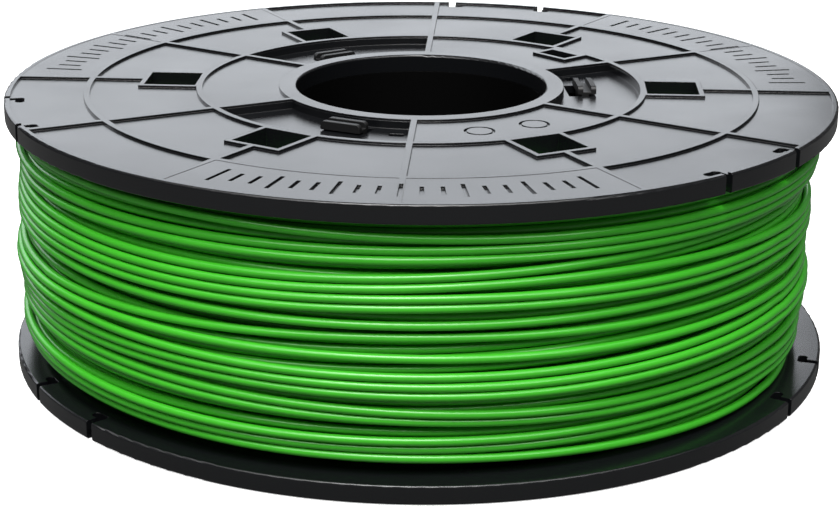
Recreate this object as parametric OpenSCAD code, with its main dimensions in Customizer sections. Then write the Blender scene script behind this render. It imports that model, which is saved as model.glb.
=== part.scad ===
// Filament spool: two identical flanges that clip onto a hollow hub with six sprung latches, wound full.
// The spool stands on its lower flange, its axis is Z and its origin is the centre of the lower face.

/* [Spool] */
// Outside diameter of the flanges
flange_d = 180; // [160:1:260]
// Height over both flanges
spool_h = 58.6; // [44:0.1:120]
// Diameter of the bore
bore_d = 54.8; // [30:0.1:68]
// Diameter of the drum that the filament is wound on
drum_d = 97; // [84:0.5:117]

/* [Flange] */
// Thickness of the rim
flange_t = 3.9; // [3.2:0.1:8]
// Height of the ribs above the plate
rib_h = 0.5; // [0.3:0.1:1.2]
// Width of the ribs
rib_w = 1.3; // [0.8:0.1:2]
// Width of the raised lip at the rim
lip_w = 1.3; // [0.8:0.1:3]
// Width of the collar round the bore
collar_w = 3.8; // [2:0.1:4.5]
// Width of the outer zone, from the rim to the middle of the outer ring rib
panel_w = 17.4; // [12:0.1:20]
// Thickness of the floor of a latch pocket
floor_t = 1.8; // [0.8:0.1:2]
// Turn of the rib pattern from the X axis, in degrees
pattern_turn = -2.6; // [-15:0.1:15]
// Turn between the patterns of the two flanges, in degrees
flip_turn = 53; // [40:0.1:60]
// Rounding of the bore's and the rim's edges
edge_r = 0.5; // [0.2:0.1:0.8]

/* [Windows] */
// Side of a square sight window
window_w = 11.2; // [6:0.1:13]
// Width of the raised frame round a window
frame_w = 1.1; // [0.6:0.1:2]
// Width of the filament start hole, across the radius
start_w = 8; // [4:0.1:9]
// Length of the filament start hole, along the radius
start_l = 4.4; // [3:0.1:5]

/* [Filament clips] */
// Width of a clip's slot at the rim
clip_slot_w = 1.8; // [1:0.1:1.9]
// Diameter of the round ends of a clip's side leg
clip_hole_d = 2; // [1.8:0.1:3]
// Distance from the rim to the middle of a clip's side leg
clip_depth = 3.4; // [2.5:0.1:5]
// Length of a clip's side leg, between the middles of its round ends
clip_leg = 2; // [1:0.1:4]
// Angle between the two clips of a pair, in degrees
clip_pitch = 15; // [8:0.5:30]

/* [Graduation] */
// Ticks on one raised panel
tick_count = 19; // [3:2:25]
// Width of a tick
tick_w = 0.8; // [0.4:0.1:1.2]
// Length of a short tick
tick_l = 5; // [2:0.1:8]
// Depth of the engraving
engrave_d = 0.5; // [0.2:0.1:0.7]
// How far a raised panel lies below the tops of the ribs
panel_drop = 0.05; // [0.02:0.01:0.3]

/* [Hub] */
// Wall of the drum
drum_wall = 2.2; // [1.2:0.1:3]
// Wall of the bore sleeve
sleeve_wall = 2.2; // [1.2:0.1:3]
// Thickness of the webs between sleeve and drum
web_t = 2; // [1:0.1:4]
// Height of the flange's locating ring inside the drum
spigot_h = 2.5; // [1:0.1:4]

/* [Latches] */
// Width of a latch
latch_w = 9; // [6:0.1:12]
// Distance from the collar to the middle of a latch's arm
latch_offset = 4.5; // [4.2:0.1:6]
// How far a latch's head is set outwards from its arm
head_shift = 0.4; // [0.2:0.1:0.5]
// Thickness of a latch's arm
arm_t = 1.6; // [1.2:0.1:2]
// Length of a latch's arm, from its root to the flange's inner face
arm_l = 18; // [12:0.1:22]
// Width of each of the two ridges on a latch's head
ridge_w = 1.1; // [0.8:0.1:1.6]
// Distance between the two ridges, middle to middle
ridge_pitch = 2.9; // [2.2:0.1:3]
// How far a latch bends inwards when it is released, in degrees
flex = 4.5; // [3:0.1:5]

/* [Winding] */
// Distance from the rim to the outside of the winding
wind_gap = 3.6; // [2:0.1:30]
// How much less the winding's radius is beside the flanges
wind_round = 1.8; // [0:0.1:4]

/* [Clearances] */
// Gap between a latch and the slot that it passes through
slot_gap = 0.4; // [0.3:0.1:0.8]
// Gap under a latch's barb
barb_gap = 0.3; // [0.2:0.1:0.6]
// Gap between a latch's root and its cradle
root_gap = 0.05; // [0.01:0.01:0.1]
// Gap between the locating ring and the drum
spigot_gap = 0.1; // [0.05:0.05:0.3]
// Gap between the winding and each flange
wind_side_gap = 0.2; // [0.1:0.1:1]

/* [Hidden] */
$fn = 120;

// Colours of the moulded plastic and of the filament
black = "#24272b";
dark = "#33373c";
green = "#2f9a1e";

// A cutting shape runs this far past the face that it cuts
cut = 1;
// A pocket's walls stand this far inside the ribs above them
ledge = 0.05;

// Radii from the axis outwards
bore_r = bore_d / 2;
sleeve_r = bore_r + sleeve_wall;
collar_r = bore_r + collar_w;
latch_r = collar_r + latch_offset;
drum_r = drum_d / 2;
drum_in = drum_r - drum_wall;
ring_in = drum_r - rib_w / 2;
ring_out = drum_r + rib_w / 2;
window_r = ring_out + window_w / 2;
frame_out = ring_out + window_w + frame_w;
flange_r = flange_d / 2;
outer_ring_r = flange_r - panel_w;
outer_ring_out = outer_ring_r + rib_w / 2;

// Heights
plate_t = flange_t - rib_h;
hub_h = spool_h - 2 * flange_t;
root_z = spool_h - flange_t - arm_l;

// Angles in the flange's own pattern, in degrees
rib_step = 30;
window_step = 60;
third = 120;
pocket_span = 60;
panel_middle = 30;
clip_middle = 80;
clip_sides = [-1, 1, -1];
latch_turn = 6.9;
key_turn = 24.6;
start_turn = 45.5;
mark_turns = [290, 308.5];
tick_span = 50;

// A latch: its arm, its head with two ridges, and its round root
root_r = arm_t;
head_r = latch_r + head_shift;
head_l = ridge_pitch + ridge_w;
head_base = 0.5;
head_top = flange_t - 0.05;
travel = (arm_l + floor_t) * sin(flex);
slot_in = head_r - head_l / 2 - travel - slot_gap;
slot_out = latch_r + arm_t / 2 + slot_gap;
cradle_wall = 1.6;
cradle_h = root_r + 1.9;
cradle_w = latch_w + 2 * slot_gap + 2 * cradle_wall;

// Small holes and marks
key_r = latch_r + 0.3;
key_l = 2;
key_w = 3;
start_r = ring_in - 2 - start_l / 2;
mark_r = (collar_r + ring_in) / 2;
mark_d = 6.4;
mark_line = 0.6;
mark_depth = 0.3;
long_tick = tick_l + 3;
tick_r = (outer_ring_out + flange_r - lip_w) / 2;

// A ring between two radii, standing on z
module ring(r1, r2, z, h) {
    translate([0, 0, z])
    difference() {
        cylinder(h = h, r = r2);
        translate([0, 0, -cut]) cylinder(h = h + 2 * cut, r = r1);
    }
}

// A stretch of a ring that starts at one angle and spans another
module sector(r1, r2, z, h, start, span) {
    rotate([0, 0, start])
    rotate_extrude(angle = span)
    translate([r1, z]) square([r2 - r1, h]);
}

// A straight bar along the radius at one angle
module bar(r1, r2, w, z, h, turn) {
    rotate([0, 0, turn])
    translate([r1, -w / 2, z]) cube([r2 - r1, w, h]);
}

// Copies of a child, once for each third of the spool
module thirds() {
    for (i = [0 : 2]) rotate([0, 0, i * third]) children();
}

// What is cut away to round an outside edge of radius r at height z; dir is 1 at the top, -1 below
module outer_rounding(r, z, dir) {
    rotate_extrude()
    translate([r - edge_r, z - dir * edge_r])
    scale([1, dir])
    difference() {
        square(edge_r + cut);
        circle(r = edge_r);
    }
}

// What is cut away to round the bore's mouth
module bore_rounding(r, z) {
    rotate_extrude()
    translate([r + edge_r, z - edge_r])
    difference() {
        translate([-edge_r - cut, 0]) square(edge_r + cut);
        circle(r = edge_r);
    }
}

// A filament clip: a slot from the rim whose inner end turns to one side; side is 1 or -1
module clip(side) {
    deep = flange_t + 2 * cut;
    leg_w = clip_hole_d - 2 * ledge;
    translate([flange_r - clip_depth, 0, -cut]) {
        translate([0, -clip_slot_w / 2, 0]) cube([clip_depth + cut, clip_slot_w, deep]);
        translate([-leg_w / 2, min(0, side * clip_leg), 0]) cube([leg_w, clip_leg, deep]);
        for (y = [0, side * clip_leg])
            translate([0, y, 0]) cylinder(h = deep, d = clip_hole_d, $fn = 32);
    }
}

// The recess between collar and inner ring rib, with the radial ribs left standing at its ends
module pocket() {
    difference() {
        sector(collar_r + ledge, ring_in - ledge, floor_t, flange_t, -pocket_span / 2, pocket_span);
        for (a = [-pocket_span / 2, pocket_span / 2])
            bar(collar_r - cut, ring_in + cut, rib_w + 2 * ledge, 0, 2 * flange_t, a);
    }
}

// The engraved scale on one raised panel
module graduation() {
    for (i = [0 : tick_count - 1]) {
        turn = (i / (tick_count - 1) - 0.5) * tick_span;
        length = i % 3 == 0 ? long_tick : tick_l;
        bar(tick_r - length / 2, tick_r + length / 2, tick_w, flange_t - engrave_d, engrave_d + cut, turn);
    }
}

// A shallow round moulding mark
module round_mark() {
    translate([mark_r, 0, 0])
        ring(mark_d / 2 - mark_line, mark_d / 2, plate_t - mark_depth, mark_depth + cut);
}

// A flat ring between two radii
module band(r1, r2) {
    difference() {
        circle(r = r2);
        circle(r = r1);
    }
}

// A flat strip along the radius at one angle
module strip(r1, r2, w, turn) {
    rotate(turn)
    translate([r1, -w / 2]) square([r2 - r1, w]);
}

// The outline of everything that ends level with the rim: lip, rings, collar, ribs and frames
module rib_lines() {
    band(flange_r - lip_w, flange_r);
    band(outer_ring_r - rib_w / 2, outer_ring_out);
    band(ring_in, ring_out);
    band(bore_r, collar_r);
    for (a = [0 : window_step : 359]) {
        strip(window_r - window_w / 2 - frame_w, frame_out, window_w + 2 * frame_w, a);
        strip(frame_out - frame_w, flange_r - lip_w / 2, rib_w, a);
        strip(collar_r - rib_w / 2, flange_r - lip_w / 2, rib_w, a + rib_step);
    }
    strip(start_r - start_l / 2 - frame_w, ring_in + rib_w / 2, start_w + 2 * frame_w, start_turn);
}

// The relief on the flange's plate: the rib lines and the three raised panels
module relief() {
    linear_extrude(flange_t) rib_lines();
    thirds()
        sector(outer_ring_r, flange_r - lip_w / 2, 0, flange_t - panel_drop,
               panel_middle - rib_step, 2 * rib_step);
}

// One flange, outer face up, with its inner face at z = 0
module flange() {
    rotate([0, 0, pattern_turn])
    difference() {
        union() {
            cylinder(h = plate_t, r = flange_r);
            relief();
            ring(drum_in - spigot_gap - rib_w, drum_in - spigot_gap, -spigot_h, spigot_h + floor_t / 2);
        }
        translate([0, 0, -cut]) cylinder(h = flange_t + 2 * cut, r = bore_r);
        bore_rounding(bore_r, flange_t);
        outer_rounding(flange_r, flange_t, 1);
        outer_rounding(flange_r, 0, -1);
        thirds() pocket();
        thirds() bar(slot_in, slot_out, latch_w + 2 * slot_gap, -cut, flange_t, latch_turn);
        thirds() bar(key_r - key_l / 2, key_r + key_l / 2, key_w, -cut, flange_t, key_turn);
        for (a = [0 : window_step : 359])
            bar(window_r - window_w / 2, window_r + window_w / 2, window_w, -cut, flange_t + 2 * cut, a);
        bar(start_r - start_l / 2, start_r + start_l / 2, start_w,
            -spigot_h - cut, spigot_h + flange_t + 2 * cut, start_turn);
        for (i = [0 : 2], s = [-1, 1])
            rotate([0, 0, clip_middle + i * third + s * clip_pitch / 2]) clip(clip_sides[i]);
        thirds() rotate([0, 0, panel_middle]) graduation();
        for (a = mark_turns) rotate([0, 0, a]) round_mark();
    }
}

// Turns what belongs to the upper flange over, to the lower flange
module turned_over() {
    translate([0, 0, spool_h])
    rotate([0, 0, flip_turn])
    rotate([180, 0, 0])
    children();
}

module upper_flange() {
    color(black) translate([0, 0, spool_h - flange_t]) flange();
}

module lower_flange() {
    color(black) turned_over() translate([0, 0, spool_h - flange_t]) flange();
}

// The inner tube, which turns on the printer's spindle
module bore_sleeve() {
    color(dark) ring(bore_r, sleeve_r, flange_t, hub_h);
}

// The block that holds one latch's root, at the latch's own angle
module cradle() {
    intersection() {
        ring(sleeve_r, drum_in, root_z - cradle_h, cradle_h);
        difference() {
            bar(0, drum_r, cradle_w, root_z - cradle_h, cradle_h, 0);
            translate([latch_r, -latch_w / 2 - slot_gap, root_z])
            rotate([-90, 0, 0])
                cylinder(h = latch_w + 2 * slot_gap, r = root_r + root_gap, $fn = 48);
        }
    }
}

module upper_cradles() {
    rotate([0, 0, pattern_turn + latch_turn]) thirds() cradle();
}

// The outer tube that carries the winding
module winding_drum() {
    color(dark) ring(drum_in, drum_r, flange_t, hub_h);
}

// Six upright webs that join the sleeve to the drum
module hub_webs() {
    web_end = spigot_h + 1.5;
    color(dark)
    intersection() {
        ring(sleeve_r, drum_in, flange_t + web_end, hub_h - 2 * web_end);
        union()
            for (a = [0 : window_step : 359])
                bar(0, drum_r, web_t, 0, spool_h, a + flip_turn / 2);
    }
}

// Six blocks between sleeve and drum, three for each flange's latches
module latch_cradles() {
    color(dark) {
        upper_cradles();
        turned_over() upper_cradles();
    }
}

// One latch of the upper flange; place counts thirds of a turn
module latch(place) {
    rotate([0, 0, pattern_turn + latch_turn + place * third])
    union() {
        translate([latch_r, -latch_w / 2, root_z])
        rotate([-90, 0, 0])
            cylinder(h = latch_w, r = root_r, $fn = 48);
        translate([latch_r - arm_t / 2, -latch_w / 2, root_z])
            cube([arm_t, latch_w, arm_l + floor_t + barb_gap + head_base / 2]);
        latch_head();
    }
}

// The head: a flat barb over the pocket's floor and two ridges with rounded ends
module latch_head() {
    barb_z = spool_h - flange_t + floor_t + barb_gap;
    ridge_top = spool_h - flange_t + head_top;
    translate([head_r - head_l / 2, -latch_w / 2, barb_z]) cube([head_l, latch_w, head_base]);
    for (s = [-1, 1])
        translate([head_r + s * ridge_pitch / 2 - ridge_w / 2, 0, 0])
            ridge(barb_z, ridge_top);
}

// One ridge, with its upper ends rounded
module ridge(z1, z2) {
    end_r = 0.9;
    translate([0, -latch_w / 2, z1]) cube([ridge_w, latch_w, z2 - z1 - end_r]);
    translate([0, -latch_w / 2 + end_r, z1]) cube([ridge_w, latch_w - 2 * end_r, z2 - z1]);
    for (s = [-1, 1])
        translate([0, s * (latch_w / 2 - end_r), z2 - end_r])
        rotate([0, 90, 0])
            cylinder(h = ridge_w, r = end_r, $fn = 32);
}

module upper_latch_front() {
    color(black) latch(2);
}

module upper_latch_right() {
    color(black) latch(0);
}

module upper_latch_back() {
    color(black) latch(1);
}

module lower_latch_front() {
    color(black) turned_over() latch(1);
}

module lower_latch_right() {
    color(black) turned_over() latch(0);
}

module lower_latch_back() {
    color(black) turned_over() latch(2);
}

// The wound filament as one closed ring, a little lower beside the flanges
module filament_winding() {
    steps = 12;
    z1 = flange_t + wind_side_gap;
    z2 = spool_h - flange_t - wind_side_gap;
    outside = [for (i = [0 : steps])
        let (t = i / steps)
        [flange_r - wind_gap - wind_round * pow(2 * t - 1, 4), z1 + t * (z2 - z1)]];
    color(green)
    rotate_extrude()
        polygon(concat([[drum_r, z2], [drum_r, z1]], outside));
}

upper_flange();
lower_flange();
bore_sleeve();
winding_drum();
hub_webs();
latch_cradles();
upper_latch_front();
upper_latch_right();
upper_latch_back();
lower_latch_front();
lower_latch_right();
lower_latch_back();
filament_winding();
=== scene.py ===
import math

import bmesh
import bpy
import numpy as np
from mathutils import Matrix, Vector


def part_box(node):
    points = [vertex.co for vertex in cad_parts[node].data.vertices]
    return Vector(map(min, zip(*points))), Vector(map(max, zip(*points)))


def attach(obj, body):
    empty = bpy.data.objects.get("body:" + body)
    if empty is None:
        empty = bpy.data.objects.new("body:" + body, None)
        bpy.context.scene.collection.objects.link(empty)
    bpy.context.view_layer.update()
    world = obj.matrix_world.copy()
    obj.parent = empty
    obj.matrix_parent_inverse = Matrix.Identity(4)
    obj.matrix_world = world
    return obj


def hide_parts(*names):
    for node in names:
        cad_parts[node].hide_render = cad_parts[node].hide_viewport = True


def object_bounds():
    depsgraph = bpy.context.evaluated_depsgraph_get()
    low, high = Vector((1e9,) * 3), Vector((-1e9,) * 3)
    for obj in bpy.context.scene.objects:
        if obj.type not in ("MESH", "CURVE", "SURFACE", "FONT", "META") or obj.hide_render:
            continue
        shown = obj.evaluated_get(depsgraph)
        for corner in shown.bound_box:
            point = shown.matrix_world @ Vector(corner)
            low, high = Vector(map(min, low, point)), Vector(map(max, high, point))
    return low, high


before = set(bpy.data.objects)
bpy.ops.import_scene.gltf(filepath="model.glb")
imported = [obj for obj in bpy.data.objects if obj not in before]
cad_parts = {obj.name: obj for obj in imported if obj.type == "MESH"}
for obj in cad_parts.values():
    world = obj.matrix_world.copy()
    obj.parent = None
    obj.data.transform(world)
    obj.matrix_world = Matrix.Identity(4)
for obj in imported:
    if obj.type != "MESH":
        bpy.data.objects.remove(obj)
cad_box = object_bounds()

# ---------------------------------------------------------------- camera
# It stands in front of the spool, a little above it, and looks slightly down on it, as a person
# does who looks across a table. Its distance and height follow the spool's own size.
flange_r = cad_box[1].x
spool_h = cad_box[1].z
look_down = math.radians(18.70)
lean = math.radians(0.465)

camera_data = bpy.data.cameras.new("studio_camera")
camera_data.sensor_width = 36
camera_data.lens = 85.13
camera_data.clip_start = 0.01
camera = bpy.data.objects.new("studio_camera", camera_data)
bpy.context.scene.collection.objects.link(camera)
tilt = Matrix.Rotation(math.pi / 2 - look_down, 4, "X") @ Matrix.Rotation(lean, 4, "Z")
camera.rotation_euler = tilt.to_euler()
camera.location = (0, -4.7236 * flange_r, spool_h + 1.1613 * flange_r)
bpy.context.scene.camera = camera

# ---------------------------------------------------------------- studio table
# A wide sheet of matt white paper that the spool lies on. It throws less light back at the spool
# than it shows, as paper does that is lit to plain white round a dark object.
MM = 0.001


def linear(hex_colour):
    """An sRGB hex colour as linear RGBA."""
    parts = [int(hex_colour[i:i + 2], 16) / 255 for i in (1, 3, 5)]
    return [c / 12.92 if c <= 0.04045 else ((c + 0.055) / 1.055) ** 2.4 for c in parts] + [1.0]


def add(tree, kind, settings=None, links=None):
    """Adds a node, gives its sockets or attributes their settings, and links its inputs."""
    node = tree.nodes.new(kind)
    for name, value in (settings or {}).items():
        if hasattr(node, str(name)):
            setattr(node, name, value)
        else:
            node.inputs[name].default_value = value
    for name, source in (links or {}).items():
        tree.links.new(source, node.inputs[name])
    return node


bm = bmesh.new()
bmesh.ops.create_grid(bm, x_segments=1, y_segments=1, size=3.0)
table_mesh = bpy.data.meshes.new("studio_table")
bm.to_mesh(table_mesh)
bm.free()
studio_table = bpy.data.objects.new("studio_table", table_mesh)
bpy.context.scene.collection.objects.link(studio_table)
studio_table.location.z = cad_box[0].z - 0.2 * MM

paper = bpy.data.materials.new("white_paper")
paper.use_nodes = True
tree = paper.node_tree
shown = tree.nodes["Principled BSDF"]
shown.inputs["Base Color"].default_value = linear("#f6f6f6")
shown.inputs["Roughness"].default_value = 0.9
shown.inputs["Emission Color"].default_value = linear("#ffffff")
shown.inputs["Emission Strength"].default_value = 0.7
returned = add(tree, "ShaderNodeBsdfDiffuse", {"Color": linear("#5a5a5a")})
ray = add(tree, "ShaderNodeLightPath")
sheet = add(tree, "ShaderNodeMixShader", None,
            {0: ray.outputs["Is Camera Ray"], 1: returned.outputs[0], 2: shown.outputs[0]})
tree.links.new(sheet.outputs[0], tree.nodes["Material Output"].inputs["Surface"])
table_mesh.materials.append(paper)

# ---------------------------------------------------------------- studio light
# A white room in low light with four soft boxes: a small one in front and high up that draws the fine
# lines on the strands, two wide ones in front and overhead, and a broad one behind the spool, to the
# left, that the flange's top reflects.
world = bpy.data.worlds.new("white_studio")
bpy.context.scene.world = world
world.use_nodes = True
tree = world.node_tree
dim_room = add(tree, "ShaderNodeBackground", {"Color": (1, 1, 1, 1), "Strength": 0.12})
white_wall = add(tree, "ShaderNodeBackground", {"Color": (1, 1, 1, 1), "Strength": 1.0})
ray = add(tree, "ShaderNodeLightPath")
room = add(tree, "ShaderNodeMixShader", None,
           {0: ray.outputs["Is Camera Ray"], 1: dim_room.outputs[0], 2: white_wall.outputs[0]})
tree.links.new(room.outputs[0], tree.nodes["World Output"].inputs["Surface"])
bpy.context.scene.view_settings.view_transform = "Standard"


def soft_box(name, place, aim, size, power, colour="#ffffff"):
    """A rectangular studio light at place, facing aim."""
    data = bpy.data.lights.new(name, "AREA")
    data.shape = "RECTANGLE"
    data.size, data.size_y = size
    data.energy = power
    data.color = linear(colour)[:3]
    lamp = bpy.data.objects.new(name, data)
    bpy.context.scene.collection.objects.link(lamp)
    lamp.location = place
    lamp.rotation_euler = (Vector(aim) - Vector(place)).to_track_quat("-Z", "Y").to_euler()


soft_box("line_soft_box", (-0.06, -0.42, 0.95), (0, 0, 0.03), (0.42, 0.34), 9)
soft_box("front_soft_box", (0, -0.95, 1.1), (0, 0, 0.03), (2.2, 0.5), 20)
soft_box("overhead_soft_box", (0, -0.1, 1.3), (0, 0, 0.03), (2.2, 0.9), 12)
soft_box("back_soft_box", (-0.6, 1.6, 0.6), (0, 0, 0.05), (2.4, 0.7), 10.8, "#f3f8ff")


# ---------------------------------------------------------------- flanges
# Each is one injection moulding in black ABS: a ribbed disc with a lip, a collar round the bore, six
# framed sight windows and three pockets for the latches. The top is satin and mirrors bright light
# at a flat angle; the mould's fine spark texture breaks that light up a little.
def moulded_abs(name, colour, roughness, grain_mm, grain_depth_mm):
    """Black ABS from a spark-eroded mould: satin, finely grained, with softly rounded edges."""
    material = bpy.data.materials.new(name)
    material.use_nodes = True
    tree = material.node_tree
    shader = tree.nodes["Principled BSDF"]
    place = add(tree, "ShaderNodeTexCoord").outputs["Object"]
    grain = add(tree, "ShaderNodeTexNoise", {"Scale": 1 / (grain_mm * MM), "Detail": 2.0},
                {"Vector": place})
    flow = add(tree, "ShaderNodeTexNoise", {"Scale": 1 / (22 * MM), "Detail": 3.0},
               {"Vector": place})
    gloss = add(tree, "ShaderNodeMapRange", {"To Min": roughness - 0.05, "To Max": roughness + 0.05},
                {"Value": flow.outputs["Fac"]})
    rounding = add(tree, "ShaderNodeBevel", {"samples": 6, "Radius": 0.18 * MM})
    bump = add(tree, "ShaderNodeBump", {"Strength": 0.6, "Distance": grain_depth_mm * MM},
               {"Height": grain.outputs["Fac"], "Normal": rounding.outputs["Normal"]})
    shader.inputs["Base Color"].default_value = linear(colour)
    shader.inputs["IOR"].default_value = 1.54
    tree.links.new(gloss.outputs["Result"], shader.inputs["Roughness"])
    tree.links.new(bump.outputs["Normal"], shader.inputs["Normal"])
    return material


def finish_node(name, material):
    """Gives a CAD node one material."""
    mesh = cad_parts[name].data
    mesh.materials.clear()
    mesh.materials.append(material)


flange_abs = moulded_abs("black_moulded_abs", "#0d0e10", 0.25, 0.35, 0.003)
for side in ("upper", "lower"):
    finish_node(side + "_flange", flange_abs)

# ---------------------------------------------------------------- latches
# Six sprung tongues of the same black ABS, three for each flange. Each ends in two thin ridges with
# round tops, which a finger pushes inwards to let the flange go, and is duller than the flange.
latch_abs = moulded_abs("black_latch_abs", "#060607", 0.5, 0.4, 0.008)
for side in ("upper", "lower"):
    for place_name in ("front", "right", "back"):
        finish_node(side + "_latch_" + place_name, latch_abs)

# ---------------------------------------------------------------- hub
# The sleeve, the drum, its webs and the latches' cradles are black ABS as well, from plainer mould
# surfaces that nobody sees once the flanges are on. Their near-black colour and faint specular are
# painted shade: they stand in for the deep shade inside the bore and behind the flanges.
# Painted shade: a colour darker than the flanges' and almost no specular keep the inside of the bore
# black.
hub_abs_painted_shade = moulded_abs("black_hub_abs", "#020202", 0.62, 0.6, 0.01)
hub_abs_painted_shade.node_tree.nodes["Principled BSDF"].inputs["Specular IOR Level"].default_value = 0.06
for node in ("bore_sleeve", "winding_drum", "hub_webs", "latch_cradles"):
    finish_node(node, hub_abs_painted_shade)

# ---------------------------------------------------------------- filament
# One strand of green ABS, extruded 1.75 mm thick and wound under light tension in layers that climb
# and fall in turn. It sinks into the grooves of the layer below it and rides up where it crosses a
# strand, so the outer layers wander, part and close again.
strand_d = 1.75 * MM
turn_steps = 180
level_step = 0.1 * MM
layer_turns = (25, 25, 24, 18)
layer_wander = (0.1 * MM, 0.3 * MM, 1.1 * MM, 2.2 * MM)
layer_rise = 1.55 * MM
least_pitch = 1.03 * strand_d
closest_pitch = 0.93 * least_pitch
hand_steps = 34
groove_reach = 9
groove_pull = 500
slump = 1.6 * MM
shoulder = 0.9 * MM
swell = 0.35 * MM
pinch = 2.2 * MM
pinch_turn = math.radians(25)
tuck_steps = 24
tuck_depth = 2.2 * MM

wind_low, wind_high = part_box("filament_winding")
drum_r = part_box("winding_drum")[1].x
lowest = wind_low.z + strand_d / 2
highest = wind_high.z - strand_d / 2
level_count = int((highest - lowest) / level_step) + 1
bed_r = wind_high.x - strand_d / 2 - (len(layer_turns) - 1) * layer_rise
chance = np.random.default_rng(7)

# The pile: at each step of the turn and each level, how far out a new strand's middle would rest. It
# is fuller on the left than on the right, and draws in at the bottom right.
step_angle = 2 * math.pi * np.arange(turn_steps) / turn_steps + math.pi / 2
across = np.linspace(-1, 1, level_count)
pile = bed_r - slump * np.cos(step_angle)[:, None] - shoulder * across[None, :] ** 4
pinched_side = (1 + np.cos(step_angle + pinch_turn)) / 2
pile -= pinch * pinched_side[:, None] * np.clip(-across[None, :], 0, 1) ** 3
for waves, twist in ((1.5, 1), (2.5, -2), (3.5, 1)):
    phase = chance.uniform(0, 2 * math.pi)
    pile += swell * np.cos(math.pi * waves * across[None, :] + twist * step_angle[:, None] + phase)


def blur(values, width):
    """A soft running mean along the strand."""
    reach = int(3 * width)
    bell = np.exp(-0.5 * (np.arange(-reach, reach + 1) / width) ** 2)
    padded = np.pad(values, reach, mode="edge")
    return np.convolve(padded, bell / bell.sum(), mode="valid")


def highest_near(values, reach):
    """The highest value within reach of each place along the strand."""
    padded = np.pad(values, reach, mode="edge")
    return np.max([padded[i:i + len(values)] for i in range(2 * reach + 1)], axis=0)


def level_of(height):
    """The pile's level nearest to a height."""
    return np.clip(np.rint((height - lowest) / level_step).astype(int), 0, level_count - 1)


def guided_path(turns, rising, wander):
    """Heights of one layer's strand: an even climb, a winder's unsteady hand, and the grooves below."""
    count = turns * turn_steps
    climb = np.arange(count) / count
    moves = chance.normal(0, wander, count // hand_steps + 2)
    hand = blur(np.interp(np.arange(count) / hand_steps, np.arange(len(moves)), moves), 10)
    height = lowest + (highest - lowest) * climb + hand
    if not rising:
        height = lowest + highest - height
    reach = np.arange(-groove_reach, groove_reach + 1)
    around = np.clip(level_of(height)[:, None] + reach, 0, level_count - 1)
    step = (np.arange(count) % turn_steps)[:, None]
    effort = pile[step, around] + groove_pull * (reach * level_step) ** 2
    height = height + blur(reach[np.argmin(effort, axis=1)] * level_step, 9)
    return np.clip(height, lowest, highest)


def spread(height, turns, rising):
    """Pushes each turn along until it clears the one before it, and closes the turns up at the end."""
    rows = height.reshape(turns, turn_steps).copy()
    way = 1 if rising else -1
    for row in range(1, turns):
        rows[row] = way * np.maximum(way * rows[row], way * rows[row - 1] + least_pitch)
    left = closest_pitch * np.arange(turns)[::-1, None]
    rows = np.minimum(rows, highest - left) if rising else np.maximum(rows, lowest + left)
    return np.clip(blur(rows.ravel(), 5), lowest, highest)


def wind_on(height, radius):
    """Lays a stretch of strand after stretch on the pile, and returns the whole strand's radius."""
    stretch, ahead = 60, 40
    reach = np.arange(-int(strand_d / level_step), int(strand_d / level_step) + 1)
    lift = np.sqrt(strand_d ** 2 - (reach * level_step) ** 2)
    for start in range(0, len(height), stretch):
        index = np.arange(start, min(start + stretch + ahead, len(height)))
        rest = pile[index % turn_steps, level_of(height[index])]
        before = radius[-ahead:]
        smooth = blur(highest_near(np.append(before, rest), 4), 6)[len(before):][:stretch]
        radius = np.append(radius, smooth)
        index = index[:stretch]
        levels = level_of(height[index])[:, None] + reach
        inside = (levels >= 0) & (levels < level_count)
        steps = np.broadcast_to((index % turn_steps)[:, None], levels.shape)
        np.maximum.at(pile, (steps[inside], levels[inside]), (smooth[:, None] + lift)[inside])
    return radius


path_height = np.empty(0)
path_radius = np.empty(0)
for number, turns in enumerate(layer_turns):
    rising = number % 2 == 0
    height = guided_path(turns, rising, layer_wander[number])
    height = spread(height, turns, rising)
    path_height = np.append(path_height, height)
    path_radius = wind_on(height, path_radius)

# The strand's outer end slips in under the last turn, at the back.
path_radius[-tuck_steps:] -= tuck_depth * np.linspace(0, 1, tuck_steps) ** 2


def filament_piece(piece, material):
    """Makes a body of filament ride on the spool in place of the plain winding."""
    bpy.context.scene.collection.objects.link(piece)
    piece.data.materials.append(material)
    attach(piece, "spool")
    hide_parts("filament_winding")


def strand_mesh(name, first, last):
    """A round strand along the path from one step to another, with closed ends."""
    index = np.arange(first, last)
    angle = 2 * math.pi * index / turn_steps + math.pi / 2
    out = path_radius[index]
    weight = np.ones(len(index))
    points = np.stack([out * np.cos(angle), out * np.sin(angle), path_height[index], weight], 1)
    curve = bpy.data.curves.new(name, "CURVE")
    curve.dimensions = "3D"
    curve.bevel_depth = strand_d / 2
    curve.bevel_resolution = 4
    curve.use_fill_caps = True
    spline = curve.splines.new("POLY")
    spline.points.add(len(index) - 1)
    spline.points.foreach_set("co", points.ravel())
    draft = bpy.data.objects.new(name + "_path", curve)
    bpy.context.scene.collection.objects.link(draft)
    bpy.context.view_layer.update()
    mesh = bpy.data.meshes.new_from_object(draft.evaluated_get(bpy.context.evaluated_depsgraph_get()))
    bpy.data.objects.remove(draft)
    mesh.name = name
    mesh.shade_smooth()
    return mesh


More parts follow.
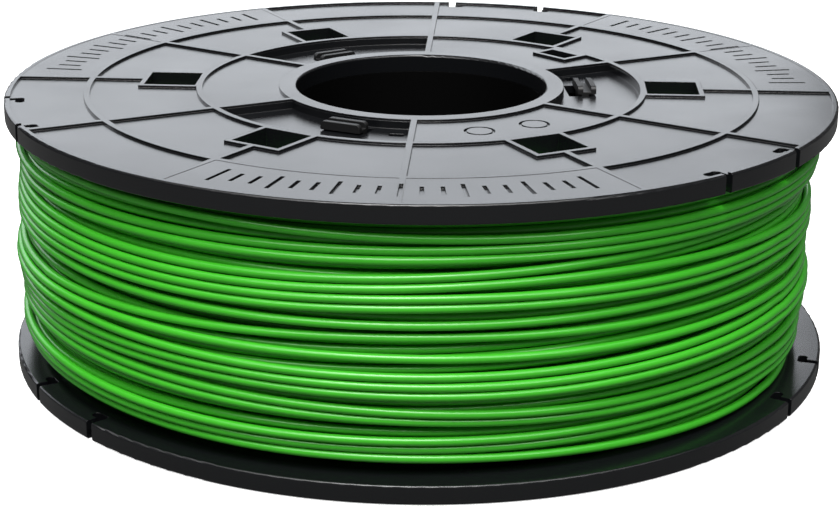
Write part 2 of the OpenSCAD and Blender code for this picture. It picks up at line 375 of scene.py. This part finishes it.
# Extruded ABS comes out of the die glossy, with a colour that drifts a little along its length.
strand_abs = bpy.data.materials.new("green_extruded_abs")
strand_abs.use_nodes = True
tree = strand_abs.node_tree
shader = tree.nodes["Principled BSDF"]
place = add(tree, "ShaderNodeTexCoord").outputs["Object"]
drift = add(tree, "ShaderNodeTexNoise", {"Scale": 1 / (9 * MM), "Detail": 2.0}, {"Vector": place})
tint = add(tree, "ShaderNodeMixRGB", {"Color1": linear("#35a11f"), "Color2": linear("#3dab26")},
           {"Fac": drift.outputs["Fac"]})
tree.links.new(tint.outputs["Color"], shader.inputs["Base Color"])
shader.inputs["Roughness"].default_value = 0.27
shader.inputs["IOR"].default_value = 1.52

first = 0
for number, turns in enumerate(layer_turns):
    name = "filament_layer_%d" % (number + 1)
    last = first + turns * turn_steps
    layer_mesh = strand_mesh(name, first, min(last + 1, len(path_height)))
    filament_piece(bpy.data.objects.new(name, layer_mesh), strand_abs)
    first = last

# ---------------------------------------------------------------- filament, inner layers
# The turns below the loose outer layers lie too deep to be seen one by one. Their ends show through
# the sight windows, as rows of round strands side by side, so they are one spun body with such ends.
core_r = bed_r - slump
end_gap = 2.4 * MM
ring_count = round((core_r - drum_r) / strand_d)
ring_w = (core_r - drum_r) / ring_count
scallop = [math.radians(a) for a in (150, 120, 90, 60, 30)]
outline = []
for side in (-1, 1):
    for i in range(ring_count) if side < 0 else reversed(range(ring_count)):
        for a in scallop if side < 0 else reversed(scallop):
            x = drum_r + (i + 0.5) * ring_w + ring_w / 2 * math.cos(a)
            outline.append((x, 0, (highest - end_gap if side > 0 else lowest + end_gap)
                            + side * strand_d / 2 * math.sin(a)))
bm = bmesh.new()
corners = [bm.verts.new(point) for point in outline]
sides = [bm.edges.new((corners[i - 1], corners[i])) for i in range(len(corners))]
bmesh.ops.spin(bm, geom=corners + sides, cent=(0, 0, 0), axis=(0, 0, 1), angle=2 * math.pi, steps=120,
               use_merge=True)
bmesh.ops.remove_doubles(bm, verts=bm.verts, dist=0.001 * MM)
bmesh.ops.recalc_face_normals(bm, faces=bm.faces)
core_mesh = bpy.data.meshes.new("filament_inner_layers")
bm.to_mesh(core_mesh)
bm.free()
core_mesh.shade_smooth()
filament_piece(bpy.data.objects.new("filament_inner_layers", core_mesh), strand_abs)
